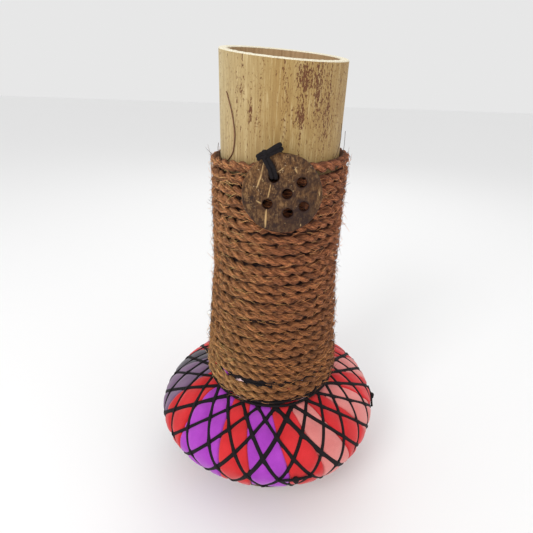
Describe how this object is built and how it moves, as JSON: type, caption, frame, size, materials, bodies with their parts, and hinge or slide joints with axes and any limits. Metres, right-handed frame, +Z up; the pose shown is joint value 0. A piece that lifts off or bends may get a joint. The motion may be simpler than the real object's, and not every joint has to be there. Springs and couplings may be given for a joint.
{
  "type": "bamboo vase on a cushion base",
  "caption": "Slant-cut bamboo tube vase wrapped in coir rope, with a tied coconut-shell disc, on a round cushion of coloured cloth under a black cord net.",
  "frame": {"origin": "middle of the foot's underside, on the surface that the vase stands on", "axes": "+Z up the bamboo tube, -Y towards the coconut-shell disc"},
  "size_m": [0.1557, 0.1548, 0.2709],
  "materials": {
    "bamboo": "dry split-culm bamboo, pale, specked brown",
    "coir": "two-ply coir rope, frizzy",
    "coconut_shell": "ground and oiled coconut shell",
    "black_cord": "matt black twisted cord",
    "stuffing": "loose fibre stuffing",
    "cloth_red": "matt stretch cloth",
    "cloth_purple": "matt stretch cloth",
    "cloth_salmon": "matt stretch cloth",
    "cloth_mauve": "matt stretch cloth",
    "cloth_slate": "matt stretch cloth"
  },
  "bodies": {
    "vase": {"bamboo_tube": "bamboo", "coir_end_turns": "coir", "coir_wrap": "coir", "cover_panel_01": "cloth_purple", "cover_panel_02": "cloth_red", "cover_panel_03": "cloth_salmon", "cover_panel_04": "cloth_red", "cover_panel_05": "cloth_salmon", "cover_panel_06": "cloth_red", "cover_panel_07": "cloth_salmon", "cover_panel_08": "cloth_red", "cover_panel_09": "cloth_purple", "cover_panel_10": "cloth_red", "cover_panel_11": "cloth_salmon", "cover_panel_12": "cloth_red", "cover_panel_13": "cloth_salmon", "cover_panel_14": "cloth_purple", "cover_panel_15": "cloth_red", "cover_panel_16": "cloth_slate", "cover_panel_17": "cloth_mauve", "cover_panel_18": "cloth_red", "cover_panel_19": "cloth_purple", "cover_panel_20": "cloth_red", "cushion_stuffing": "stuffing", "foot_disc": "coconut_shell", "gathered_cloth": "cloth_red", "neck_whipping": "black_cord", "net_cords_over": "black_cord", "net_cords_under": "black_cord", "net_foot_cord": "black_cord", "net_knots": "black_cord", "net_neck_cord": "black_cord"},
    "hanger": {"tie_anchor": "black_cord", "tie_knot": "black_cord", "tie_end_long": "black_cord", "tie_end_short": "black_cord"},
    "disc": {"shell_disc": "coconut_shell", "tie_strands": "black_cord"}
  },
  "joints": [
    {"name": "disc_swing", "type": "hinge", "parent": "vase", "child": "hanger", "pos_m": [0.001, -0.0355, 0.221], "axis": [0, -1, 0], "range_deg": [-30, 30]},
    {"name": "disc_lift", "type": "hinge", "parent": "hanger", "child": "disc", "pos_m": [0.001, -0.0425, 0.2247], "axis": [-1, 0, 0], "range_deg": [0, 75]}
  ]
}
